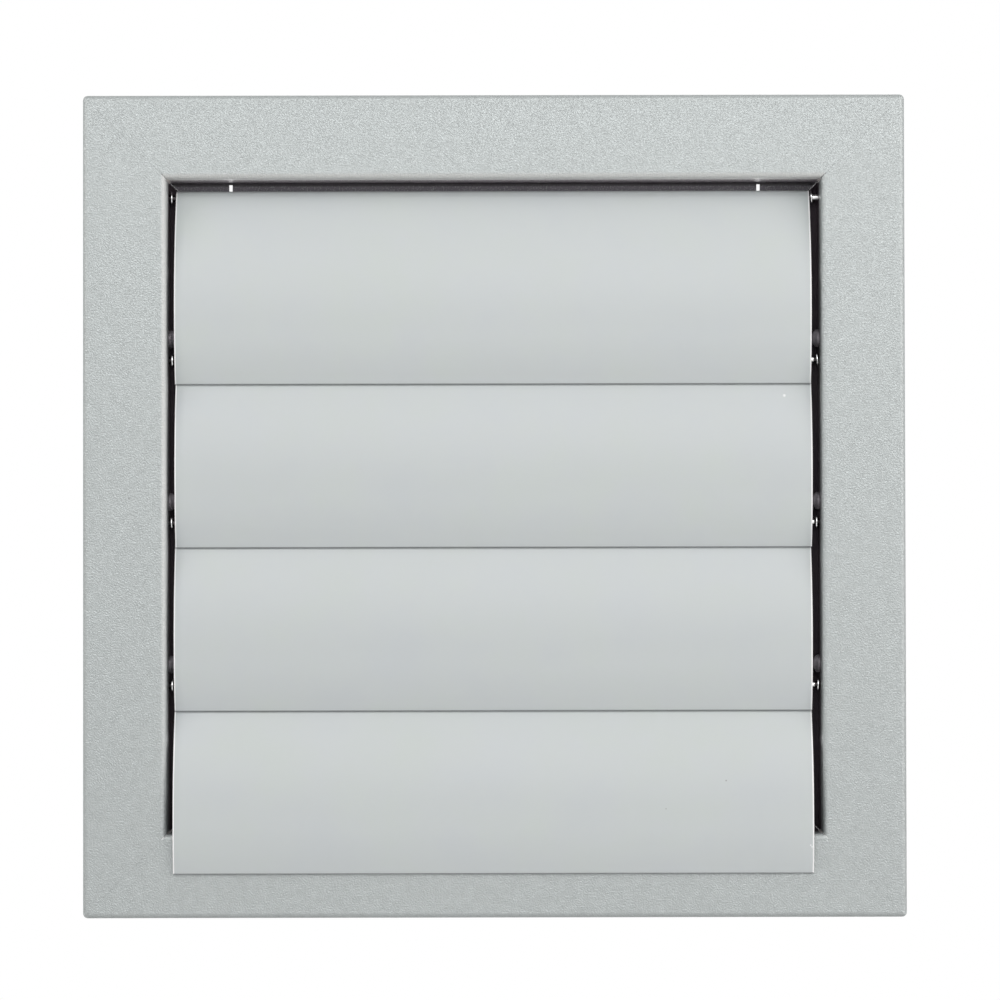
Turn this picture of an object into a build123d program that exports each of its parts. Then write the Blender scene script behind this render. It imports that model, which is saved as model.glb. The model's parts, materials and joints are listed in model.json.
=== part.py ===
from build123d import *
from math import acos, asin, atan2, cos, degrees, hypot, radians, sin, sqrt
import os

# Louvred vent grille: a square frame of four mitred lengths of folded sheet,
# with four curved blades that hang on pins and lap one over the next.
# Millimetres, with X to the right, Y into the wall and Z up.
# The origin is the middle of the opening, in the plane of the wall.

# Frame, folded from sheet
frame_width = 400.0
frame_height = 400.0
frame_depth = 24.0
rail_width = 40.5
sheet = 1.5
bend_radius = 2.5
lip_width = 15.0
corner_radius = 3.0
mitre_gap = 0.06

# Upright slots in the lip of the top rail
slot_width = 1.7
slot_inset = 29.5
slot_offset = 0.4
slot_length = 9.0
slot_margin = 0.3

# Screw holes in the lips of the two jambs
fixing_hole_radius = 2.5
fixing_inset = 44.5

# Blades
blade_count = 4
blade_end_gap = 4.25
blade_offsets = (-0.5, -0.3, -0.6, -0.7)
blade_lap = 12.5
skin = 1.2
hem_radius = 3.3
crown_drop = 51.0
crown_radius = 130.0
flat_drop = 10.0
flat_length = 8.0
toe_radius = 90.0
tip_break = 0.3
lap_clearance = 0.5

# Pivots: a pin in each end of a blade turns in a bearing strip, with a loose washer between
pivot_drop = 8.0
pivot_depth = 17.5
pin_radius = 1.5
pin_length = 21.0
pin_stand_out = 1.0
running_clearance = 0.05
press_clearance = 0.02
flange_clearance = 0.5
washer_radius = 3.5
washer_thickness = 0.5
washer_standoffs = {"left": (1.0, 1.2, 0.9, 1.2), "right": (3.1, 0.6, 1.1, 0.6)}

# Bearing strips of hard plastic, riveted behind the flanges of the jambs
strip_thickness = 2.0
strip_width = 12.0
strip_end_gap = 4.0
seat_clearance = 0.05
rivet_rise = 10.3
rivet_depth = 15.5
rivet_shank_radius = 2.0
rivet_head_radius = 4.5
rivet_head_height = 3.5
rivet_stand_out = 2.0

# Corner brackets, welded inside the mitres
bracket_arm = 66.0
bracket_margin = 4.0
bracket_thickness = 1.5

# Sizes that follow from those above
opening_width = frame_width - 2 * rail_width
opening_height = frame_height - 2 * rail_width
face_y = -frame_depth
slot_spacing = opening_width - 2 * slot_inset
fixing_spacing = opening_height - 2 * fixing_inset
blade_length = opening_width - 2 * blade_end_gap
pivot_y = face_y + pivot_depth
blade_pitch = opening_height / blade_count
blade_drop = blade_pitch + blade_lap
pivot_heights = [opening_height / 2 - pivot_drop - i * blade_pitch for i in range(blade_count)]
rivet_heights = [z + rivet_rise for z in pivot_heights[1:]]
rivet_y = face_y + rivet_depth
fixing_x = (opening_width - lip_width) / 2

UP = Vector(0, 0, 1)
RIGHT = Vector(1, 0, 0)
INWARD = Vector(0, 1, 0)
SIDES = {"left": -1, "right": 1}


def folded_side(outward, reach, half_length):
    """One side of the frame: a folded length with a 45 degree mitre at each end."""
    along = outward.cross(INWARD)
    edge_of_opening = outward * (reach - rail_width) + INWARD * face_y
    with BuildPart() as side:
        # The section is drawn outwards from the edge of the opening and back from the face:
        # the return, the face, the flange and the lip are one strip, filled from its hidden side.
        with BuildSketch(Plane(origin=edge_of_opening, x_dir=outward, z_dir=along)):
            with BuildLine():
                FilletPolyline(
                    (rail_width - sheet, frame_depth),
                    (rail_width - sheet, sheet),
                    (sheet, sheet),
                    (sheet, frame_depth),
                    (-lip_width, frame_depth),
                    radius=[bend_radius - sheet, bend_radius - sheet, bend_radius],
                )
                offset(amount=sheet, side=Side.LEFT)
            make_face()
        extrude(amount=half_length, both=True)
        for end in (-1, 1):
            corner = outward * reach + along * (end * half_length)
            away = (along * end - outward).normalized()
            split(bisect_by=Plane(origin=corner - away * (mitre_gap / 2), z_dir=away), keep=Keep.BOTTOM)
        with BuildSketch(Plane.XZ):
            RectangleRounded(frame_width, frame_height, corner_radius)
        extrude(amount=frame_depth, mode=Mode.INTERSECT, both=True)
    return side.part


def facing_jamb(side, y, z):
    """A plane on the flange of a jamb, looking back into the opening."""
    return Plane(origin=(side * opening_width / 2, y, z), z_dir=(-side, 0, 0))


def keep(piece, label):
    """Name a finished piece and write it to its own file."""
    piece.label = label
    export_step(piece, f"parts/{label}.step")


os.makedirs("parts", exist_ok=True)

# Top rail, with its two narrow slots
top_side = folded_side(UP, frame_height / 2, frame_width / 2)
slot_middle = opening_height / 2 - slot_margin - slot_length / 2
with BuildPart() as frame_top_rail:
    add(top_side)
    with BuildSketch(Plane.XZ.offset(-sheet)):
        with Locations((slot_offset, slot_middle)):
            with GridLocations(slot_spacing, 0, 2, 1):
                Rectangle(slot_width, slot_length)
    extrude(amount=2 * sheet, both=True, mode=Mode.SUBTRACT)
keep(frame_top_rail.part, "frame_top_rail")

# Bottom rail
bottom_side = folded_side(-UP, frame_height / 2, frame_width / 2)
with BuildPart() as frame_bottom_rail:
    add(bottom_side)
keep(frame_bottom_rail.part, "frame_bottom_rail")

# Jambs, with holes for the pins, the rivets and the fixing screws
for name, side in SIDES.items():
    jamb_side = folded_side(RIGHT * side, frame_width / 2, frame_height / 2)
    with BuildPart() as jamb:
        add(jamb_side)
        with Locations(*[facing_jamb(side, pivot_y, z) for z in pivot_heights]):
            Hole(pin_radius + flange_clearance, depth=2 * sheet)
        with Locations(*[facing_jamb(side, rivet_y, z) for z in rivet_heights]):
            Hole(rivet_shank_radius + seat_clearance, depth=2 * sheet)
        with Locations(Plane.XZ.offset(sheet)):
            with Locations((side * fixing_x, 0)):
                with GridLocations(0, fixing_spacing, 1, 2):
                    Hole(fixing_hole_radius, depth=2 * sheet)
    keep(jamb.part, f"frame_{name}_jamb")

# Corner brackets: L plates that lie against the back of the face
bracket_x = frame_width / 2 - bracket_margin
bracket_z = frame_height / 2 - bracket_margin
arm_width = rail_width - 2 * bracket_margin
for rail, up in {"top": 1, "bottom": -1}.items():
    for name, side in SIDES.items():
        with BuildPart() as bracket:
            with BuildSketch(Plane.XZ.offset(-face_y - sheet)) as plate:
                with Locations((side * (bracket_x - bracket_arm / 2), up * (bracket_z - arm_width / 2))):
                    Rectangle(bracket_arm, arm_width)
                with Locations((side * (bracket_x - arm_width / 2), up * (bracket_z - bracket_arm / 2))):
                    Rectangle(arm_width, bracket_arm)
                chamfer(plate.vertices(), length=bracket_margin)
            extrude(amount=-bracket_thickness)
        keep(bracket.part, f"corner_bracket_{rail}_{name}")

# Bearing strips, flat bars behind the flanges
strip_length = opening_height - 2 * strip_end_gap
strip_back = sheet + strip_thickness
for name, side in SIDES.items():
    strip_face = Plane(
        origin=(side * (opening_width / 2 + sheet), 0, 0), x_dir=(0, side, 0), z_dir=(side, 0, 0)
    )
    with BuildPart() as bearing_strip:
        with BuildSketch(strip_face):
            with Locations((side * rivet_y, 0)):
                Rectangle(strip_width, strip_length)
            with Locations(*[(side * pivot_y, z) for z in pivot_heights]):
                Circle(pin_radius + running_clearance, mode=Mode.SUBTRACT)
            with Locations(*[(side * rivet_y, z) for z in rivet_heights]):
                Circle(rivet_shank_radius + seat_clearance, mode=Mode.SUBTRACT)
        extrude(amount=strip_thickness)
    keep(bearing_strip.part, f"bearing_strip_{name}")

# Rivets that hold the strips: a head on the flange, and a shank that comes out behind the strip
for name, side in SIDES.items():
    for number, z in enumerate(rivet_heights, start=2):
        seat = facing_jamb(side, rivet_y, z)
        with BuildPart() as rivet:
            with BuildSketch(seat):
                Circle(rivet_head_radius)
            extrude(amount=rivet_head_height)
            with BuildSketch(seat):
                Circle(rivet_shank_radius)
            extrude(amount=-(strip_back + rivet_stand_out))
        keep(rivet.part, f"rivet_{name}_{number}")

# Washers, loose on the pins: they stand off the flanges by as much as the blades have pushed them
for name, side in SIDES.items():
    for number, (z, standoff) in enumerate(zip(pivot_heights, washer_standoffs[name]), start=1):
        with BuildPart() as washer:
            with BuildSketch(facing_jamb(side, pivot_y, z).offset(standoff)):
                Circle(washer_radius)
                Circle(pin_radius + running_clearance, mode=Mode.SUBTRACT)
            extrude(amount=washer_thickness)
        keep(washer.part, f"washer_{name}_{number}")

# Pins, pressed into the hems of the blades and turning in the strips
pin_tip = opening_width / 2 + strip_back + pin_stand_out
for name, side in SIDES.items():
    for number, z in enumerate(pivot_heights, start=1):
        with BuildPart() as pin:
            with BuildSketch(Plane(origin=(side * pin_tip, pivot_y, z), z_dir=(-side, 0, 0))):
                Circle(pin_radius)
            extrude(amount=pin_length)
        keep(pin.part, f"pin_{name}_{number}")

# Section of a blade, drawn forwards and up from its pivot: the arc of its crown runs
# off the hem, then come a short flat and a tighter arc down to the tip.
arc_reach = crown_radius - hem_radius
crown_centre = Vector(-sqrt(arc_reach**2 - crown_drop**2), -crown_drop)
hem_angle = degrees(atan2(-crown_centre.Y, -crown_centre.X))
flat_angle = degrees(asin(flat_drop / crown_radius))
toe_start = crown_drop + flat_drop + flat_length * cos(radians(flat_angle))
toe_angle = degrees(asin((blade_drop - toe_start) / toe_radius + sin(radians(flat_angle)))) - flat_angle


def blade_outline():
    """The front line of a blade, from its hem to its tip."""
    with BuildLine() as front:
        crown = CenterArc(crown_centre, crown_radius, hem_angle, -(hem_angle + flat_angle))
        flat = Line(crown @ 1, crown @ 1 + (crown % 1) * flat_length)
        JernArc(start=flat @ 1, tangent=flat % 1, radius=toe_radius, arc_size=-toe_angle)
    return front.line


# Each blade hangs closed. The lowest lies on the face of the bottom rail, and each of the
# others leans its tip on the crown of the next. An angle is measured outwards from straight down.
tip_front = blade_outline() @ 1
tip_normal = radians(flat_angle + toe_angle)
tip_back = tip_front - Vector(cos(tip_normal), -sin(tip_normal)) * skin
tip_reach = hypot(tip_back.X, tip_back.Y)
tip_angle = atan2(tip_back.X, -tip_back.Y)
crown_angle = atan2(crown_centre.X, -crown_centre.Y)
closed_angles = [asin((pivot_depth + lap_clearance) / tip_reach) - tip_angle]
for _ in range(blade_count - 1):
    centre_out = arc_reach * sin(crown_angle + closed_angles[0])
    centre_down = blade_pitch + arc_reach * cos(crown_angle + closed_angles[0])
    distance = hypot(centre_out, centre_down)
    touch = crown_radius + lap_clearance
    between = acos((tip_reach**2 + distance**2 - touch**2) / (2 * tip_reach * distance))
    closed_angles.insert(0, atan2(centre_out, centre_down) + between - tip_angle)
print("closed angles of the blades:", [round(degrees(angle), 2) for angle in closed_angles])

# Blades, extruded from that section
for number, (z, angle, offset_x) in enumerate(zip(pivot_heights, closed_angles, blade_offsets), start=1):
    right_end = Plane(
        origin=(blade_length / 2 + offset_x, pivot_y, z),
        x_dir=(0, -cos(angle), sin(angle)),
        z_dir=(-1, 0, 0),
    )
    with BuildPart() as blade:
        with BuildSketch(right_end) as section:
            with BuildLine():
                add(blade_outline())
                offset(amount=skin, side=Side.RIGHT)
            make_face()
            chamfer(section.vertices().sort_by(Axis.Y)[:2], length=tip_break)
            Circle(hem_radius)
            Circle(pin_radius + press_clearance, mode=Mode.SUBTRACT)
        extrude(amount=blade_length)
    keep(blade.part, f"blade_{number}")
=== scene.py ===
# %% [markdown]
# # A louvred vent grille
# The grille is a square frame of folded sheet with four curved blades that hang on pins.
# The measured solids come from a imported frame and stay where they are. This lesson adds
# what the eye looks for: the textured paint, satin blades with rounded edges, domed rivets,
# bright washers, and the light of a plain studio. Every size is in metres.

# %% Load the measured solids
import json
import math

import bpy
from mathutils import Matrix, Vector


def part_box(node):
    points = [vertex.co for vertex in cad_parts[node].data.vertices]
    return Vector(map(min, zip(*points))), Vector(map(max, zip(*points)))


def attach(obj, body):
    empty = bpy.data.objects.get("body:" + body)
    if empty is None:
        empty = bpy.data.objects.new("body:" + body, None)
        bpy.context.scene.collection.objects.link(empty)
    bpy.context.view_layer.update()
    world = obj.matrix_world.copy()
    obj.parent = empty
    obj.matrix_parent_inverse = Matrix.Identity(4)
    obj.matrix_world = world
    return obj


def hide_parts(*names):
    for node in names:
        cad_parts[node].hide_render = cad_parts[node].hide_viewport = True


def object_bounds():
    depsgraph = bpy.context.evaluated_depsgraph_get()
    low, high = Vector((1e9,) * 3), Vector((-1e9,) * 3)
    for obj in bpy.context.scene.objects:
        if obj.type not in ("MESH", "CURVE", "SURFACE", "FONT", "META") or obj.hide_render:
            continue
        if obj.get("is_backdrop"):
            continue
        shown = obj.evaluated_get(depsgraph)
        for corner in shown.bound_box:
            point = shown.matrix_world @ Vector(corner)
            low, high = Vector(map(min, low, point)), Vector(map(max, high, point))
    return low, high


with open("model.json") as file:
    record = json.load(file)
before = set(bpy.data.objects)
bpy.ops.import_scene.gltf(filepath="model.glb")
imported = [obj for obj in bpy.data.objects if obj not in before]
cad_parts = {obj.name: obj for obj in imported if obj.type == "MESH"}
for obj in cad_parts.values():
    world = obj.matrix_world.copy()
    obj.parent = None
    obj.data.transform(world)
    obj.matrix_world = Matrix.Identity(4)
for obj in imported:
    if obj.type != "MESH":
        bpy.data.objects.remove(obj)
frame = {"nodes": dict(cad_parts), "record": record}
low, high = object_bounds()

# %% [markdown]
# ## The camera
# The picture was taken square on from about 1.6 m, with a long lens and the camera a little
# below the middle of the grille: the undersides of the top flange and of the upper blades
# just show. Aiming a camera at a point near the middle gives the same slight upward look,
# so no lens shift is needed.

# %% Place the camera
front_of_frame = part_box("frame_top_rail")[0].y
camera_distance = 1.6
camera_height = -0.020
camera_side = 0.0015
aim_side = 0.0028
aim_height = 0.0027
camera_roll = math.radians(-0.11)
lens_mm = 118.6
sensor_mm = 36.0

camera_data = bpy.data.cameras.new("camera")
camera_data.lens = lens_mm
camera_data.sensor_width = sensor_mm
camera = bpy.data.objects.new("camera", camera_data)
bpy.context.scene.collection.objects.link(camera)
camera.location = (camera_side, front_of_frame - camera_distance, camera_height)
aim = Vector((aim_side, front_of_frame, aim_height)) - camera.location
camera.rotation_mode = "QUATERNION"
camera.rotation_quaternion = (aim.to_track_quat("-Z", "Y").to_matrix()
                              @ Matrix.Rotation(camera_roll, 3, "Z")).to_quaternion()
bpy.context.scene.camera = camera
print("camera stands at", [round(v, 4) for v in camera.location])

# %% [markdown]
# ## Background and floor
# The background is pure white and the light on the object must not depend on it. A Light
# Path node tells which rays come from the camera or are mirrored by a surface: those see
# white, and the rays that carry soft light see a dimmer grey. The floor is a plain pale
# plane some way below, which catches the shadow in views from above.

# %% White surroundings and a pale floor
light_from_front = 0.33
light_from_behind = 0.12
floor_drop = 0.40
floor_size = 2.6

bpy.context.scene.view_settings.view_transform = "Standard"
world = bpy.data.worlds.new("studio")
bpy.context.scene.world = world
world.use_nodes = True
world_tree = world.node_tree
world_tree.nodes.clear()


def value_ramp(tree, source, low_in, high_in, low_out, high_out):
    """Maps one range of values to another, clamped."""
    node = tree.nodes.new("ShaderNodeMapRange")
    node.inputs["From Min"].default_value = low_in
    node.inputs["From Max"].default_value = high_in
    node.inputs["To Min"].default_value = low_out
    node.inputs["To Max"].default_value = high_out
    tree.links.new(source, node.inputs["Value"])
    return node.outputs["Result"]


def above(tree, source, start, end):
    """0 up to the start, and 1 past the end."""
    return value_ramp(tree, source, start, end, 0.0, 1.0)


def below(tree, source, start, end):
    """1 up to the start, and 0 past the end."""
    return value_ramp(tree, source, start, end, 1.0, 0.0)


def combine(tree, operation, first, second):
    """Two values, joined by a Math node."""
    node = tree.nodes.new("ShaderNodeMath")
    node.operation = operation
    tree.links.new(first, node.inputs[0])
    tree.links.new(second, node.inputs[1])
    return node.outputs[0]


def seen_directly(tree):
    """A value that is 1 on rays from the camera or from a surface that mirrors them."""
    rays = tree.nodes.new("ShaderNodeLightPath")
    mirrored = combine(tree, "MAXIMUM", rays.outputs["Is Glossy Ray"],
                       rays.outputs["Is Transmission Ray"])
    not_soft_yet = below(tree, rays.outputs["Diffuse Depth"], 0.0, 1.0)
    mirrored = combine(tree, "MULTIPLY", mirrored, not_soft_yet)
    return combine(tree, "MAXIMUM", rays.outputs["Is Camera Ray"], mirrored)


direction = world_tree.nodes.new("ShaderNodeTexCoord")
split = world_tree.nodes.new("ShaderNodeSeparateXYZ")
world_tree.links.new(direction.outputs["Generated"], split.inputs[0])
soft_sky = world_tree.nodes.new("ShaderNodeBackground")
soft_sky.inputs["Color"].default_value = (0.98, 0.99, 1.0, 1)
strength = value_ramp(world_tree, split.outputs["Y"], -0.25, 0.25, light_from_front, light_from_behind)
world_tree.links.new(strength, soft_sky.inputs["Strength"])
white_sky = world_tree.nodes.new("ShaderNodeBackground")
white_sky.inputs["Color"].default_value = (1, 1, 1, 1)
sky_mix = world_tree.nodes.new("ShaderNodeMixShader")
world_out = world_tree.nodes.new("ShaderNodeOutputWorld")
world_tree.links.new(seen_directly(world_tree), sky_mix.inputs["Fac"])
world_tree.links.new(soft_sky.outputs[0], sky_mix.inputs[1])
world_tree.links.new(white_sky.outputs[0], sky_mix.inputs[2])
world_tree.links.new(sky_mix.outputs[0], world_out.inputs["Surface"])

bpy.ops.object.select_all(action="DESELECT")
bpy.ops.mesh.primitive_plane_add(size=floor_size, location=(0, 0, low.z - floor_drop))
floor = bpy.context.object
floor.name = "floor"
floor_paint = bpy.data.materials.new("pale_floor")
floor_paint.use_nodes = True
floor_tree = floor_paint.node_tree
floor_shader = floor_tree.nodes["Principled BSDF"]
floor_shader.inputs["Base Color"].default_value = (0.80, 0.80, 0.80, 1)
floor_shader.inputs["Roughness"].default_value = 0.9
glow = floor_tree.nodes.new("ShaderNodeEmission")
glow.inputs["Strength"].default_value = 0.35
lifted = floor_tree.nodes.new("ShaderNodeAddShader")
choice = floor_tree.nodes.new("ShaderNodeMixShader")
floor_tree.links.new(floor_shader.outputs[0], lifted.inputs[0])
floor_tree.links.new(glow.outputs[0], lifted.inputs[1])
floor_tree.links.new(seen_directly(floor_tree), choice.inputs["Fac"])
floor_tree.links.new(floor_shader.outputs[0], choice.inputs[1])
floor_tree.links.new(lifted.outputs[0], choice.inputs[2])
floor_tree.links.new(choice.outputs[0], floor_tree.nodes["Material Output"].inputs["Surface"])
floor.data.materials.append(floor_paint)
floor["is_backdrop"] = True
print("floor lies", round(-floor.location.z, 3), "m below the middle")

# %% [markdown]
# ## Light
# The top flange throws a soft shadow about 10 mm long on the first blade, the lowest blade
# has soft shadows on both sides, the bends of both jambs are bright, and everything is a
# little darker lower down. That asks for one wide soft box in front and above, at nearly 30
# degrees and not too far away, a small fill box below it, and an upright box on each side.
# A box behind and below lights the back, and shines a little through the two slots.

# %% Soft boxes


def soft_box(name, place, width, height, watts, colour=(1, 1, 1)):
    """A rectangular lamp at a place, turned to the middle of the grille."""
    lamp = bpy.data.lights.new(name, "AREA")
    lamp.shape = "RECTANGLE"
    lamp.size = width
    lamp.size_y = height
    lamp.energy = watts
    lamp.color = colour
    box = bpy.data.objects.new(name, lamp)
    bpy.context.scene.collection.objects.link(box)
    box.location = place
    box.rotation_mode = "QUATERNION"
    box.rotation_quaternion = (-Vector(place)).to_track_quat("-Z", "Y")
    return box


warm = (1.0, 0.955, 0.93)
key = soft_box("key_box", (0.02, -1.60, 0.86), 2.4, 0.9, 9.7)
fill = soft_box("fill_box", (0.10, -1.45, 0.42), 0.9, 0.7, 2.7)
left_side = soft_box("left_box", (-1.55, -0.85, 0.85), 0.8, 1.0, 10.8, warm)
right_side = soft_box("right_box", (1.60, -1.05, 0.45), 1.2, 1.6, 15.5, warm)
back = soft_box("back_box", (0.0, 1.70, -0.35), 1.6, 1.0, 9.0)
back.visible_camera = False
for lamp in (key, fill, left_side, right_side, back):
    print(lamp.name, lamp.data.energy, "W")

# %% [markdown]
# ## Powder coat
# The frame's silver grey paint has a fine leathery texture: soft bumps one or two millimetres
# across, a finer grain over them, and brighter flakes. Two noise textures add up to the height
# that a Bump node turns into relief, and a third changes the colour a little. The bends at the
# left and the top of the opening carry a painted highlight, and the top flange's underside is
# painted light. Behind them painted shade makes the flanges and the lip nearly black, darkest in
# the top corners. Each mitre shows as a hairline across the front bend, with its cut edge just
# behind it painted bright as a highlight. All these zones are measured from the middle of the grille.

# %% Helpers for materials


def new_finish(name, colour, roughness, metallic=0.0):
    """A material with its own Principled shader, and the tree to build on."""
    finish = bpy.data.materials.new(name)
    finish.use_nodes = True
    shader = finish.node_tree.nodes["Principled BSDF"]
    shader.inputs["Base Color"].default_value = (*colour, 1)
    shader.inputs["Roughness"].default_value = roughness
    shader.inputs["Metallic"].default_value = metallic
    return finish, finish.node_tree, shader


def object_noise(tree, scale, detail=2.0, roughness=0.5):
    """Noise in the object's own coordinates, with so many cells to the metre."""
    place = tree.nodes.new("ShaderNodeTexCoord")
    noise = tree.nodes.new("ShaderNodeTexNoise")
    noise.inputs["Scale"].default_value = scale
    noise.inputs["Detail"].default_value = detail
    noise.inputs["Roughness"].default_value = roughness
    tree.links.new(place.outputs["Object"], noise.inputs["Vector"])
    return noise.outputs["Fac"]


def ramp(tree, source, stops):
    """Turns a value into a colour, through stops of (position, colour)."""
    node = tree.nodes.new("ShaderNodeValToRGB")
    while len(node.color_ramp.elements) < len(stops):
        node.color_ramp.elements.new(0.5)
    for element, (position, colour) in zip(node.color_ramp.elements, stops):
        element.position = position
        element.color = (*colour, 1)
    tree.links.new(source, node.inputs["Fac"])
    return node.outputs["Color"]


def relief(tree, shader, height, distance):
    """Gives the shader's surface a relief of that height, in metres."""
    bump = tree.nodes.new("ShaderNodeBump")
    bump.inputs["Strength"].default_value = 1.0
    bump.inputs["Distance"].default_value = distance
    tree.links.new(height, bump.inputs["Height"])
    tree.links.new(bump.outputs["Normal"], shader.inputs["Normal"])


def blend(tree, factor, first, second):
    """Goes from the first colour to the second as the factor goes from 0 to 1."""
    node = tree.nodes.new("ShaderNodeMix")
    node.data_type = "RGBA"
    tree.links.new(factor, node.inputs["Factor"])
    for slot_name, colour in (("A", first), ("B", second)):
        if isinstance(colour, tuple):
            node.inputs[slot_name].default_value = (*colour, 1)
        else:
            tree.links.new(colour, node.inputs[slot_name])
    return node.outputs["Result"]


# %% Helpers that tell where a point is


def axes_of(tree):
    """A point's place in the object's own coordinates, as three values."""
    place = tree.nodes.new("ShaderNodeTexCoord")
    axes = tree.nodes.new("ShaderNodeSeparateXYZ")
    tree.links.new(place.outputs["Object"], axes.inputs[0])
    return axes.outputs["X"], axes.outputs["Y"], axes.outputs["Z"]


def size_of(tree, value):
    """A value without its sign."""
    node = tree.nodes.new("ShaderNodeMath")
    node.operation = "ABSOLUTE"
    tree.links.new(value, node.inputs[0])
    return node.outputs[0]


def product(tree, first, *others):
    """Several values, multiplied."""
    for other in others:
        first = combine(tree, "MULTIPLY", first, other)
    return first


def opposite(tree, value):
    """1 where the value is 0, and 0 where it is 1."""
    return below(tree, value, 0.0, 1.0)


# %% Zones of the frame round its opening
# Each pair is where a zone begins to fade and where the fading ends. Those worked out from
# opening_half are distances from the middle, half_seam is a distance from the mitre, the pair
# for the painted highlight on the left bend is a height, and the others are depths.
opening_half = 0.1595
bend_within = (opening_half + 0.0014, opening_half + 0.0026)
flange_within = (opening_half + 0.0003, opening_half + 0.0006)
seam_within = (opening_half + 0.0018, opening_half + 0.0030)
cut_edge_beyond = (opening_half - 0.0010, opening_half - 0.0007)
corner_of_lip_beyond = (opening_half - 0.0021, opening_half - 0.0012)
half_seam = (0.00014, 0.00026)
left_bend_paler_from = (-0.15, 0.0)
bend_turns_under_at = (-0.0238, -0.0190)
bend_fades_at = (-0.0180, -0.0130)
top_bend_fades_later = 0.0060
seam_fades_at = (-0.0190, -0.0180)
cut_edge_from = (-0.0200, -0.0190)
cut_edge_fades_at = (-0.0050, -0.0040)
shade_at_sides_from = (-0.0145, -0.0100)
shade_at_top_from = (-0.0154, -0.0140)
wall_side_from = (-0.0012, -0.0008)
lip_from = (-0.0060, -0.0020)


def zones_of_opening(tree):
    """Named values from 0 to 1, each telling whether a point is in that zone of the frame."""
    x, y, z = axes_of(tree)
    across, up = size_of(tree, x), size_of(tree, z)
    furthest = combine(tree, "MAXIMUM", across, up)
    nearest = combine(tree, "MINIMUM", across, up)
    off_mitre = size_of(tree, combine(tree, "SUBTRACT", across, up))
    top = above(tree, combine(tree, "SUBTRACT", z, across), 0.0, 0.0002)
    sides = opposite(tree, top)

    later = value_ramp(tree, top, 0.0, 1.0, 0.0, top_bend_fades_later)
    left = product(tree, below(tree, x, -0.1, 0.1),
                   value_ramp(tree, z, *left_bend_paler_from, 0.15, 1.0))
    # Painted highlight: the left bend, paler towards the top, and the top bend are lightened where
    # light falls on them.
    bend = product(tree, below(tree, furthest, *bend_within),
                   below(tree, combine(tree, "SUBTRACT", y, later), *bend_fades_at),
                   combine(tree, "MAXIMUM", left, top))

    # Painted shade: the flanges and lips behind the bends are darkened where light does not reach.
    shade_zone = combine(tree, "MAXIMUM", product(tree, sides, above(tree, y, *shade_at_sides_from)),
                   product(tree, top, above(tree, y, *shade_at_top_from)))
    shade_zone = product(tree, below(tree, furthest, *flange_within), below(tree, y, *wall_side_from), shade_zone)

    seam = product(tree, below(tree, off_mitre, *half_seam), below(tree, furthest, *seam_within),
                   below(tree, y, *seam_fades_at))
    cut_edge = product(tree, above(tree, nearest, *cut_edge_beyond),
                       below(tree, furthest, *flange_within),
                       below(tree, y, *cut_edge_fades_at), above(tree, y, *cut_edge_from))

    lip = above(tree, y, *lip_from)
    return {
        "top": top, "sides": sides, "bottom": below(tree, z, -0.05, 0.05),
        "bend": bend, "under_bend": above(tree, y, *bend_turns_under_at), "shade_zone": shade_zone,
        "lip": lip, "face_of_lip": above(tree, lip, 0.97, 1.0),
        "corner": above(tree, furthest, *corner_of_lip_beyond), "seam": seam, "cut_edge": cut_edge,
    }


# %% Textured silver grey paint
coat_colour = (0.410, 0.439, 0.438)
# Painted light: this bend colour, the top bend colour and the pale top flange colour below stand in for
# light on the bends and on the top flange's underside.
bend_highlight_colour = (0.640, 0.650, 0.640)
# Painted shade: this colour of the side flanges, and those of the side lips, top flange, top lip and
# its corners below, stand in for shade inside the opening.
side_flange_shade_colour = (0.092, 0.077, 0.089)
side_lip_shade_colour = (0.066, 0.053, 0.062)
top_bend_highlight_colour = (0.590, 0.602, 0.592)
top_flange_painted_light_colour = (0.920, 0.920, 0.905)
top_flange_shade_colour = (0.400, 0.360, 0.395)
top_lip_shade_colour = (0.193, 0.176, 0.205)
top_corner_shade_colour = (0.034, 0.029, 0.034)
dark_seam_colour = (0.040, 0.036, 0.040)
pale_seam_colour = (0.780, 0.780, 0.770)
# The mitre's cut edge is bare sheet, painted bright as a highlight where it catches the light.
cut_edge_highlight_colour = (0.85, 0.81, 0.79)
coat_grain = 1250.0
coat_fine_grain = 2400.0
coat_sparkle = 1300.0
coat_specks = 1400.0
coat_mottle = 300.0
coat_relief = 0.00029
fine_share = 0.35
paler_share = 0.85
speck_levels = (0.54, 0.66)
speck_share = 0.75
flake_levels = (0.38, 0.62)
flake_metal = (0.04, 0.60)
coat_gloss = (0.35, 0.42)


def coat_tones(tree, zones, tint):
    """The coat's colour in every zone: the painted highlight of the bends over the tint, then the
    painted shade, then the mitres.
    """
    bend_highlight_tone = blend(tree, zones["top"], bend_highlight_colour,
                      blend(tree, zones["under_bend"], top_bend_highlight_colour, top_flange_painted_light_colour))
    coat = blend(tree, zones["paler"], tint, bend_highlight_tone)
    side_shade_tone = blend(tree, zones["lip"], side_flange_shade_colour, side_lip_shade_colour)
    top_lip_shade_tone = blend(tree, zones["corner"], top_lip_shade_colour, top_corner_shade_colour)
    top_shade_tone = blend(tree, zones["face_of_lip"], top_flange_shade_colour, top_lip_shade_tone)
    in_shade = product(tree, zones["corner"], zones["face_of_lip"])
    in_light = combine(tree, "SUBTRACT", zones["top"], in_shade)
    specks = value_ramp(tree, object_noise(tree, coat_specks, 1.0), *speck_levels, 0.0, speck_share)
    shaded = product(tree, zones["shade_zone"], opposite(tree, product(tree, specks, in_light)))
    coat = blend(tree, shaded, coat, blend(tree, zones["top"], side_shade_tone, top_shade_tone))
    seam_tone = blend(tree, zones["bottom"], dark_seam_colour, pale_seam_colour)
    coat = blend(tree, zones["seam"], coat, seam_tone)
    return blend(tree, zones["cut_edge"], coat, cut_edge_highlight_colour)


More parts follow.
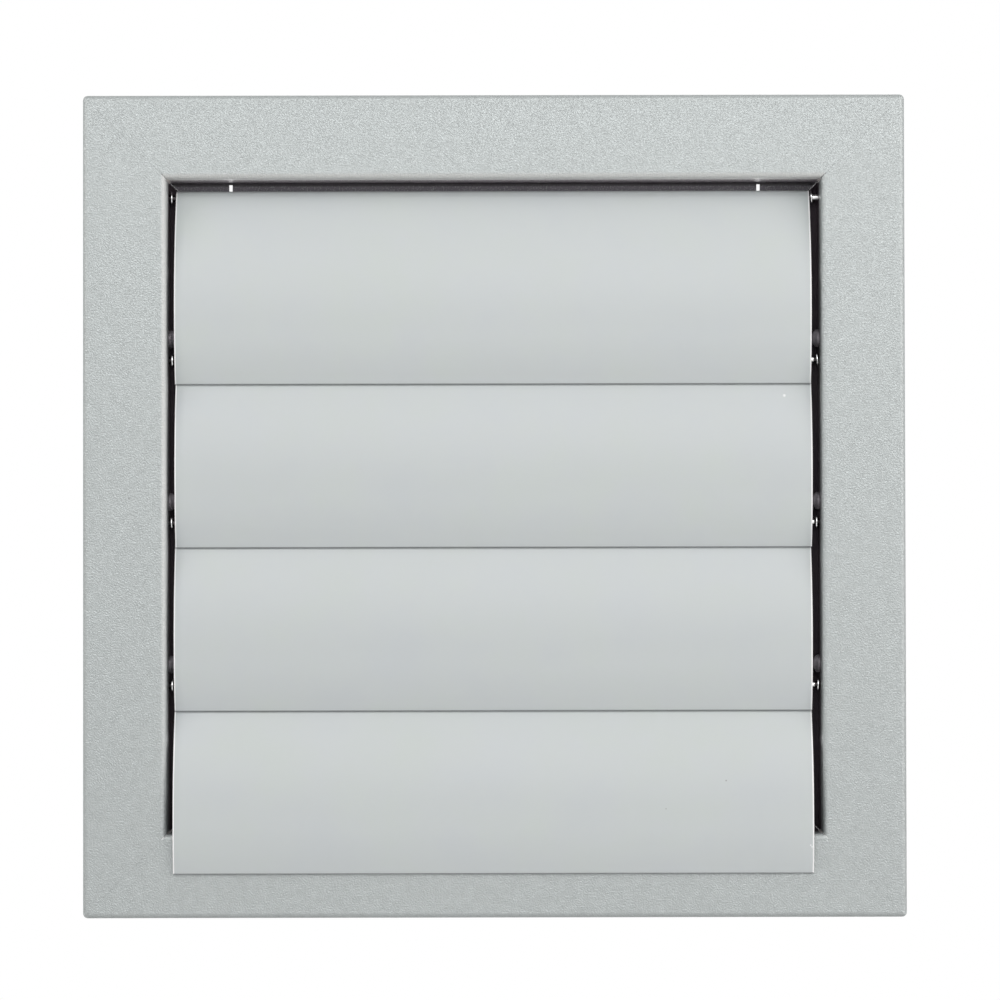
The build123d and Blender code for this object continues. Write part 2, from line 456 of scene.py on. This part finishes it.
def make_powder_coat():
    """Powder coat with a leathery relief, mottled a little in colour, painted paler on the bends and
    painted dark with shade inside the opening.
    """
    finish, tree, shader = new_finish("powder_coat", coat_colour, 0.45, 0.30)
    coarse = object_noise(tree, coat_grain, 1.0)
    fine = value_ramp(tree, object_noise(tree, coat_fine_grain, 2.0), 0.0, 1.0, 0.0, fine_share)
    relief(tree, shader, combine(tree, "ADD", coarse, fine), coat_relief)
    mottle = object_noise(tree, coat_mottle, 3.0, 0.7)
    tint = ramp(tree, mottle, [
        (0.30, tuple(0.94 * c for c in coat_colour)),
        (0.52, coat_colour),
        (0.72, tuple(1.06 * c for c in coat_colour)),
    ])
    zones = zones_of_opening(tree)
    zones["paler"] = value_ramp(tree, zones["bend"], 0.0, 1.0, 0.0, paler_share)
    tree.links.new(coat_tones(tree, zones, tint), shader.inputs["Base Color"])
    tree.links.new(value_ramp(tree, mottle, 0.3, 0.7, *coat_gloss), shader.inputs["Roughness"])
    flakes = value_ramp(tree, object_noise(tree, coat_sparkle, 2.0, 0.6), *flake_levels, *flake_metal)
    plain = opposite(tree, combine(tree, "MAXIMUM", zones["shade_zone"], zones["paler"]))
    tree.links.new(product(tree, flakes, plain), shader.inputs["Metallic"])
    # The side lips in the painted shade reflect almost nothing, so they stay dark.
    dull = product(tree, zones["shade_zone"], zones["lip"], zones["sides"])
    tree.links.new(value_ramp(tree, dull, 0.0, 1.0, 0.5, 0.04), shader.inputs["Specular IOR Level"])
    return finish


powder_coat = make_powder_coat()
print("made", powder_coat.name)

# %% [markdown]
# ## Satin blade plastic
# The blades are smooth, pale and satin. A very soft, broad change of tint keeps them from
# looking like a flat colour, and a fine shallow grain softens the highlight. A painted highlight
# lies along the last half millimetre of the cut ends, and painted shade darkens the edge of the
# tip where it lies on the next blade, so each blade will carry two attributes that tell how far
# a point is from the nearer end and from the tip. One small pale mark lies on the second blade,
# and three pale and two dark ones lie on the fourth, each placed by where it is seen from the front.

# %% Light grey satin plastic
blade_colour = (0.535, 0.571, 0.575)
# Painted highlight: the last half millimetre of each cut end is paler where its edge catches the light.
rim_highlight_colour = (0.95, 0.95, 0.95)
# Painted shade: the edge of the tip is darkened where it lies on the next blade and the gap below it is
# in shade.
lap_shade_colour = (0.10, 0.10, 0.11)
rim_highlight_fades_at_mm = (0.45, 0.70)
lap_shade_width_mm = 0.28
lap_shade_fade_mm = 0.08
lap_shade_share = 0.8
# Each mark: its place across and its height, from the middle of the grille, its radius and colour.
marks_on_blades = (
    (0.1417, 0.0536, 0.0009, (0.80, 0.82, 0.82)),
    (0.1121, -0.1335, 0.0005, (0.30, 0.31, 0.31)),
    (0.0829, -0.1470, 0.0004, (0.34, 0.35, 0.35)),
    (0.1529, -0.1647, 0.0005, (0.80, 0.82, 0.82)),
    (0.1535, -0.1655, 0.0005, (0.80, 0.82, 0.82)),
    (0.1542, -0.1662, 0.0006, (0.85, 0.86, 0.86)),
)


def mark_at(tree, x, z, radius):
    """1 at a place that is seen from the front, fading to 0 at the radius."""
    place = tree.nodes.new("ShaderNodeTexCoord")
    flat = tree.nodes.new("ShaderNodeVectorMath")
    flat.operation = "MULTIPLY"
    flat.inputs[1].default_value = (1, 0, 1)
    tree.links.new(place.outputs["Object"], flat.inputs[0])
    reach = tree.nodes.new("ShaderNodeVectorMath")
    reach.operation = "DISTANCE"
    reach.inputs[1].default_value = (x, 0, z)
    tree.links.new(flat.outputs["Vector"], reach.inputs[0])
    return below(tree, reach.outputs["Value"], 0.4 * radius, radius)


def make_blade_satin():
    """Satin plastic with a cloudy tint, fine grain, a painted highlight on the rims, painted shade at
    the tip and a few marks.
    """
    finish, tree, shader = new_finish("blade_satin", blade_colour, 0.42)
    cloud = object_noise(tree, 28.0, 3.0, 0.6)
    tint = ramp(tree, cloud, [
        (0.30, (blade_colour[0] * 0.985, blade_colour[1] * 0.985, blade_colour[2] * 1.000)),
        (0.50, blade_colour),
        (0.70, (blade_colour[0] * 1.000, blade_colour[1] * 1.010, blade_colour[2] * 0.985)),
    ])
    from_end = tree.nodes.new("ShaderNodeAttribute")
    from_end.attribute_name = "end_distance"
    rim_highlight = below(tree, from_end.outputs["Fac"], *rim_highlight_fades_at_mm)
    from_tip = tree.nodes.new("ShaderNodeAttribute")
    from_tip.attribute_name = "tip_distance"
    lap_shade = value_ramp(tree, from_tip.outputs["Fac"], lap_shade_width_mm - lap_shade_fade_mm,
                       lap_shade_width_mm + lap_shade_fade_mm, lap_shade_share, 0.0)
    skin_colour = blend(tree, lap_shade, blend(tree, rim_highlight, tint, rim_highlight_colour), lap_shade_colour)
    for x, z, radius, colour in marks_on_blades:
        skin_colour = blend(tree, mark_at(tree, x, z, radius), skin_colour, colour)
    tree.links.new(skin_colour, shader.inputs["Base Color"])
    grain = object_noise(tree, 2500.0, 2.0)
    relief(tree, shader, grain, 0.000004)
    tree.links.new(value_ramp(tree, cloud, 0.3, 0.7, 0.38, 0.46), shader.inputs["Roughness"])
    return finish


blade_satin = make_blade_satin()
print("made", blade_satin.name)

# %% [markdown]
# ## Small metal and the hidden plastic
# The washers are bright zinc, the rivets dull grey aluminium, the brackets galvanised with
# a spangle of flat crystals, and the bearing strips dark plastic. The pins are steel, painted dark
# with shade. On the right they keep the bright steel colour between the blade and its washer,
# where highlights fall, apart from the top one, whose washer has slid up to the blade: it is
# bright next to the flange.

# %% Steel, dull aluminium, zinc and dark plastic


def make_metal(name, colour, roughness, grain, depth):
    """A plain metal with fine uneven gloss."""
    finish, tree, shader = new_finish(name, colour, roughness, 1.0)
    noise = object_noise(tree, grain, 3.0)
    tree.links.new(value_ramp(tree, noise, 0.3, 0.7, roughness * 0.8, roughness * 1.25),
                   shader.inputs["Roughness"])
    tint = ramp(tree, noise, [(0.3, tuple(0.9 * c for c in colour)), (0.7, colour)])
    tree.links.new(tint, shader.inputs["Base Color"])
    relief(tree, shader, noise, depth)
    return finish


def make_galvanised():
    """Zinc with a spangle of crystals about 6 mm across."""
    finish, tree, shader = new_finish("galvanised_zinc", (0.55, 0.56, 0.57), 0.4, 1.0)
    place = tree.nodes.new("ShaderNodeTexCoord")
    cells = tree.nodes.new("ShaderNodeTexVoronoi")
    cells.inputs["Scale"].default_value = 170.0
    tree.links.new(place.outputs["Object"], cells.inputs["Vector"])
    shade = tree.nodes.new("ShaderNodeRGBToBW")
    tree.links.new(cells.outputs["Color"], shade.inputs["Color"])
    tint = ramp(tree, shade.outputs[0], [(0.2, (0.34, 0.35, 0.36)), (0.8, (0.48, 0.49, 0.50))])
    tree.links.new(tint, shader.inputs["Base Color"])
    tree.links.new(value_ramp(tree, shade.outputs[0], 0.0, 1.0, 0.32, 0.5), shader.inputs["Roughness"])
    return finish


def make_dark_plastic():
    """Hard dark moulded plastic with a faint grain."""
    finish, tree, shader = new_finish("dark_plastic", (0.045, 0.045, 0.05), 0.5)
    noise = object_noise(tree, 1200.0, 2.0)
    tint = ramp(tree, noise, [(0.3, (0.035, 0.035, 0.04)), (0.7, (0.055, 0.055, 0.06))])
    tree.links.new(tint, shader.inputs["Base Color"])
    relief(tree, shader, noise, 0.00002)
    return finish


# Painted shade: the pins are darkened where they lie in shade, and keep their bright steel colour where
# highlights fall.
pin_shade_colour = (0.045, 0.040, 0.042)
top_pin_above = (0.10, 0.11)
bright_next_to_flange = (0.1564, 0.1568)
bright_next_to_blade = (0.1566, 0.1570)


def make_pin_steel():
    """Steel painted dark with shade, apart from the stretches on the right that keep the bright steel
    colour where highlights fall.
    """
    finish = make_metal("pin_steel", (0.90, 0.90, 0.89), 0.20, 900.0, 0.000004)
    tree = finish.node_tree
    shader = tree.nodes["Principled BSDF"]
    clean = shader.inputs["Base Color"].links[0].from_socket
    x, _, z = axes_of(tree)
    top_pin = above(tree, z, *top_pin_above)
    near_flange = product(tree, above(tree, x, *bright_next_to_flange), top_pin)
    near_blade = product(tree, below(tree, x, *bright_next_to_blade), opposite(tree, top_pin))
    unshaded_stretch = product(tree, combine(tree, "MAXIMUM", near_flange, near_blade), above(tree, x, 0.0, 0.1))
    tree.links.new(blend(tree, unshaded_stretch, pin_shade_colour, clean), shader.inputs["Base Color"])
    return finish


pin_steel = make_pin_steel()
bright_zinc = make_metal("bright_zinc", (0.92, 0.92, 0.92), 0.16, 1200.0, 0.000004)
dull_aluminium = make_metal("dull_aluminium", (0.25, 0.23, 0.25), 0.60, 1500.0, 0.00001)
galvanised = make_galvanised()
dark_plastic = make_dark_plastic()

# %% Dress the solids that stay
finish_of_slot = {
    "frame_paint": powder_coat,
    "blade_plastic": blade_satin,
    "pin_steel": pin_steel,
    "washer_steel": bright_zinc,
    "rivet_metal": dull_aluminium,
    "strip_plastic": dark_plastic,
    "bracket_zinc": galvanised,
}
for part in frame["record"]["subparts"]:
    solid = frame["nodes"][part["node"]]
    solid.data.materials.clear()
    solid.data.materials.append(finish_of_slot[part["material_slot"]])

# %% [markdown]
# ## Blades
# A blade is one curved skin with a rolled hem round its pivot. It is made as a sheet metal
# worker would draw it: the short flat near the tip is a narrow strip with many columns, its
# upper edge is spun round the centre of the crown, its lower edge round the centre of the
# toe, and Solidify gives the skin its thickness on the inner side. The hem is a turned bar that
# a Boolean joins on, and a thinner bar cuts its bore. The solid in the frame has the same
# section, but this one has smoother curves and rounded edges.

# %% The sizes of a blade, about its pivot
blade_low, blade_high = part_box("blade_1")
blade_length = blade_high.x - blade_low.x
blade_skin = 0.0012
hem_radius = 0.0033
bore_radius = 0.00152
crown_radius = 0.130
crown_drop = 0.051
crown_start_angle = math.radians(23.74)
flat_angle = math.radians(4.41)
flat_length = 0.008
toe_radius = 0.090
toe_angle = math.radians(15.19)
blade_columns = 64
edge_round = 0.00028

crown_centre = Vector((0, math.sqrt((crown_radius - hem_radius) ** 2 - crown_drop ** 2), -crown_drop))
along_flat = Vector((0, math.sin(flat_angle), -math.cos(flat_angle)))
outward_at_flat = Vector((0, -math.cos(flat_angle), -math.sin(flat_angle)))
flat_top = crown_centre + outward_at_flat * crown_radius
flat_bottom = flat_top + along_flat * flat_length
toe_centre = flat_bottom - outward_at_flat * toe_radius
print("blades are", round(blade_length * 1000, 1), "mm long")
print("the flat starts", round(-flat_top.z * 1000, 1), "mm below the pivot")


# %% Helpers for modelling


def start_fresh():
    """Leaves edit mode and deselects everything, so an operator acts on new work alone."""
    if bpy.context.object and bpy.context.object.mode != "OBJECT":
        bpy.ops.object.mode_set(mode="OBJECT")
    bpy.ops.object.select_all(action="DESELECT")


def pick_edges(piece, test):
    """Goes to edit mode with only the edges selected that pass a test, and counts them."""
    bpy.ops.object.mode_set(mode="OBJECT")
    for group in (piece.data.polygons, piece.data.edges, piece.data.vertices):
        group.foreach_set("select", [False] * len(group))
    chosen = [edge for edge in piece.data.edges if test(edge)]
    for edge in chosen:
        edge.select = True
    bpy.ops.object.mode_set(mode="EDIT")
    bpy.ops.mesh.select_mode(type="EDGE")
    return len(chosen)


def apply_modifier(piece, kind, **settings):
    """Adds a modifier with its settings and applies it at once."""
    modifier = piece.modifiers.new(kind.lower(), kind)
    for setting, value in settings.items():
        setattr(modifier, setting, value)
    bpy.context.view_layer.objects.active = piece
    bpy.ops.object.modifier_apply(modifier=modifier.name)


def settle(piece):
    """Puts a piece's place, turn and scale into its mesh."""
    start_fresh()
    piece.select_set(True)
    bpy.context.view_layer.objects.active = piece
    bpy.ops.object.transform_apply(location=True, rotation=True, scale=True)


def copy_of(pattern, name):
    """A copy of a finished piece with a mesh of its own."""
    piece = pattern.copy()
    piece.data = pattern.data.copy()
    piece.name = name
    piece.data.name = name
    bpy.context.scene.collection.objects.link(piece)
    return piece


# %% The skin: a strip, spun up into the crown and down into the toe
start_fresh()
bpy.ops.mesh.primitive_grid_add(x_subdivisions=blade_columns, y_subdivisions=1, size=1.0)
skin = bpy.context.object
skin.name = "blade_pattern"
skin.scale = (blade_length, flat_length, 1)
skin.rotation_euler = (math.atan2(-along_flat.z, -along_flat.y), 0, 0)
skin.location = (flat_top + flat_bottom) / 2
settle(skin)


def on_line(point):
    """A test for edges that lie along X through a point of the section."""
    def test(edge):
        ends = [skin.data.vertices[v].co for v in edge.vertices]
        return all((end.yz - point.yz).length < 1e-6 for end in ends)
    return test


print("edges of the crown's root:", pick_edges(skin, on_line(flat_top)))
bpy.ops.mesh.spin(steps=36, angle=crown_start_angle + flat_angle, center=crown_centre, axis=(1, 0, 0))
print("edges of the toe's root:", pick_edges(skin, on_line(flat_bottom)))
bpy.ops.mesh.spin(steps=16, angle=-toe_angle, center=toe_centre, axis=(1, 0, 0))
bpy.ops.object.mode_set(mode="OBJECT")
print("skin is", [round(v * 1000, 1) for v in skin.dimensions], "mm")

# %% Thickness, hem, bore and rounded edges
start_fresh()
skin.select_set(True)
bpy.context.view_layer.objects.active = skin
bpy.ops.object.mode_set(mode="EDIT")
bpy.ops.mesh.select_all(action="SELECT")
bpy.ops.mesh.remove_doubles(threshold=1e-6)
bpy.ops.mesh.normals_make_consistent(inside=False)
bpy.ops.object.mode_set(mode="OBJECT")
front_face = min(skin.data.polygons, key=lambda face: face.center.y)
if front_face.normal.y > 0:
    bpy.ops.object.mode_set(mode="EDIT")
    bpy.ops.mesh.flip_normals()
    bpy.ops.object.mode_set(mode="OBJECT")
apply_modifier(skin, "SOLIDIFY", thickness=blade_skin, offset=-1.0, use_even_offset=True)


def turned_bar(name, radius, length):
    """A round bar along the pivot's axis, with a ring of points round its middle."""
    start_fresh()
    bpy.ops.mesh.primitive_cylinder_add(vertices=64, radius=radius, depth=length)
    bar = bpy.context.object
    bar.name = name
    bar.rotation_euler = (0, math.pi / 2, 0)
    settle(bar)
    bpy.ops.object.mode_set(mode="EDIT")
    bpy.ops.mesh.select_all(action="SELECT")
    bpy.ops.mesh.bisect(plane_co=(0, 0, 0), plane_no=(1, 0, 0))
    bpy.ops.object.mode_set(mode="OBJECT")
    return bar


hem = turned_bar("hem_bar", hem_radius, blade_length)
bore = turned_bar("bore_bar", bore_radius, blade_length + 0.01)
apply_modifier(skin, "BOOLEAN", operation="UNION", object=hem, solver="EXACT")
apply_modifier(skin, "BOOLEAN", operation="DIFFERENCE", object=bore, solver="EXACT")
for bar in (hem, bore):
    bpy.data.objects.remove(bar)
apply_modifier(skin, "BEVEL", width=edge_round, segments=2, limit_method="ANGLE",
               angle_limit=math.radians(50))
start_fresh()
skin.select_set(True)
bpy.context.view_layer.objects.active = skin
bpy.ops.object.shade_smooth_by_angle(angle=math.radians(40))
size_mm = [round(v * 1000, 2) for v in skin.dimensions]
print("pattern blade:", len(skin.data.vertices), "points,", size_mm, "mm")

# %% Four blades, each turned to the angle at which it hangs


def reach_and_angle(points, pivot):
    """How far the tip is from the pivot, and its angle outwards from straight down."""
    tip = max((point - pivot for point in points), key=lambda v: v.yz.length)
    return tip.yz.length, math.atan2(-tip.y, -tip.z)


def paint_rims(blade, pivot, reach):
    """Writes how far each point is from the nearer end and from the tip, in millimetres."""
    from_end = blade.data.attributes.new("end_distance", "FLOAT", "POINT")
    from_tip = blade.data.attributes.new("tip_distance", "FLOAT", "POINT")
    for vertex in blade.data.vertices:
        place = vertex.co - pivot
        from_end.data[vertex.index].value = 1000 * (blade_length / 2 - abs(place.x))
        from_tip.data[vertex.index].value = 1000 * (reach - place.yz.length)


pattern_points = [v.co.copy() for v in skin.data.vertices]
pattern_reach, pattern_angle = reach_and_angle(pattern_points, Vector((0, 0, 0)))
for number in range(1, 5):
    pin_low, pin_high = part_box(f"pin_left_{number}")
    pivot = (pin_low + pin_high) / 2
    pivot.x = sum(corner.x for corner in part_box(f"blade_{number}")) / 2
    solid = frame["nodes"][f"blade_{number}"]
    solid_points = [solid.matrix_world @ v.co for v in solid.data.vertices]
    solid_reach, solid_angle = reach_and_angle(solid_points, pivot)
    blade = copy_of(skin, f"louvre_{number}")
    blade.rotation_euler = (-(solid_angle - pattern_angle), 0, 0)
    blade.location = pivot
    settle(blade)
    blade.data.materials.append(blade_satin)
    paint_rims(blade, pivot, pattern_reach)
    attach(blade, f"flap_{number}")
    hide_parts(f"blade_{number}")
    print(blade.name, "hangs at", round(math.degrees(solid_angle - pattern_angle), 2), "degrees, reach",
          round(pattern_reach * 1000, 2), "against", round(solid_reach * 1000, 2), "mm")
bpy.data.objects.remove(skin)

# %% [markdown]
# ## Rivets and washers
# The rivets have a domed head with the small sunken end of their mandrel in the middle, and
# a bulged tail behind the strip. The washers are thin rings with broken edges. Both are grown
# ring by ring from one circle: its end is extruded along the axis and resized again and
# again, which is how a turner would read the profile off a drawing. Each is made once, on
# the left side, and copied. The washers hang loose on the pins, so each is a little askew.

# %% Growing a turned piece from a circle


def grown_from_circle(name, stations, filled):
    """A piece along X: each station is (place along the axis, radius)."""
    start_fresh()
    place, radius = stations[0]
    bpy.ops.mesh.primitive_circle_add(vertices=40, radius=radius,
                                      fill_type="NGON" if filled else "NOTHING")
    piece = bpy.context.object
    piece.name = name
    piece.rotation_euler = (0, math.pi / 2, 0)
    piece.location = (place, 0, 0)
    settle(piece)
    bpy.ops.object.mode_set(mode="EDIT")
    bpy.ops.mesh.select_mode(type="FACE" if filled else "EDGE")
    bpy.ops.mesh.select_all(action="SELECT")
    for next_place, next_radius in stations[1:]:
        bpy.ops.mesh.extrude_region_move(TRANSFORM_OT_translate={"value": (next_place - place, 0, 0)})
        share = next_radius / radius
        bpy.ops.transform.resize(value=(1, share, share), center_override=(next_place, 0, 0))
        place, radius = next_place, next_radius
    bpy.ops.mesh.select_all(action="SELECT")
    bpy.ops.mesh.remove_doubles(threshold=1e-6)
    bpy.ops.mesh.normals_make_consistent(inside=False)
    bpy.ops.object.mode_set(mode="OBJECT")
    bpy.ops.object.shade_smooth_by_angle(angle=math.radians(35))
    return piece


# %% Domed rivets
rivet_low, rivet_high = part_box("rivet_left_2")
head_radius = (rivet_high.z - rivet_low.z) / 2
head_height = 0.0035
shank_radius = 0.0020
tail_radius = 0.0030
tail_height = 0.0020
rivet_length = rivet_high.x - rivet_low.x
head_foot = rivet_length - head_height
head_rim = 0.0006
dome_radius = 0.98 * head_radius
dome_offset = 0.00009
dome = []
for turn in (12, 24, 36, 48, 60, 70):
    rise = (head_height - head_rim) * math.sin(math.radians(turn))
    reach = dome_radius * math.cos(math.radians(turn)) + dome_offset
    dome.append((head_foot + head_rim + rise, reach))
rivet_pattern = grown_from_circle("rivet_pattern", [
    (0.0, 0.0012), (0.0002, 0.0021), (0.0007, 0.0028), (0.0012, tail_radius), (tail_height, 0.0027),
    (tail_height, shank_radius), (head_foot, shank_radius), (head_foot, head_radius * 0.97),
    (head_foot + 0.0003, head_radius), *dome,
    (rivet_length - 0.0001, 0.0013), (rivet_length - 0.0001, 0.0011), (rivet_length - 0.0006, 0.00095),
], filled=True)
for side in ("left", "right"):
    for number in (2, 3, 4):
        low_corner, high_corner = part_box(f"rivet_{side}_{number}")
        rivet = copy_of(rivet_pattern, f"domed_rivet_{side}_{number}")
        middle = (low_corner + high_corner) / 2
        start = low_corner.x if side == "left" else high_corner.x
        rivet.location = (start, middle.y, middle.z)
        rivet.rotation_euler = (0, 0, 0 if side == "left" else math.pi)
        settle(rivet)
        rivet.data.materials.append(dull_aluminium)
        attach(rivet, "frame")
        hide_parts(f"rivet_{side}_{number}")
bpy.data.objects.remove(rivet_pattern)
print("6 rivets, heads", round(2000 * head_radius, 1), "mm across")

# %% Washers with broken edges
washer_low, washer_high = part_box("washer_left_1")
washer_radius = (washer_high.z - washer_low.z) / 2
washer_thickness = washer_high.x - washer_low.x
washer_bore = 0.00155
washer_break = 0.0001
washer_pattern = grown_from_circle("washer_pattern", [
    (washer_break, washer_bore), (0.0, washer_bore + washer_break), (0.0, washer_radius - washer_break),
    (washer_break, washer_radius), (washer_thickness - washer_break, washer_radius),
    (washer_thickness, washer_radius - washer_break), (washer_thickness, washer_bore + washer_break),
    (washer_thickness - washer_break, washer_bore), (washer_break, washer_bore),
], filled=False)
washer_turn = {"left": (5, 4, 3, 3), "right": (-5, -2, -3, -3)}
washer_lean = {"left": (0, 0, -2, 0), "right": (-4, -6, 0, 2)}
for side in ("left", "right"):
    for number in range(1, 5):
        low_corner, high_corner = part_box(f"washer_{side}_{number}")
        washer = copy_of(washer_pattern, f"bright_washer_{side}_{number}")
        washer.location = (low_corner.x, *((low_corner + high_corner) / 2).yz)
        washer.rotation_euler = (0, math.radians(washer_lean[side][number - 1]),
                                 math.radians(washer_turn[side][number - 1]))
        settle(washer)
        washer.data.materials.append(bright_zinc)
        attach(washer, "frame")
        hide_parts(f"washer_{side}_{number}")
bpy.data.objects.remove(washer_pattern)
print("8 washers,", round(washer_thickness * 1000, 2), "mm thick")

# %% The size of everything shown
low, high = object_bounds()
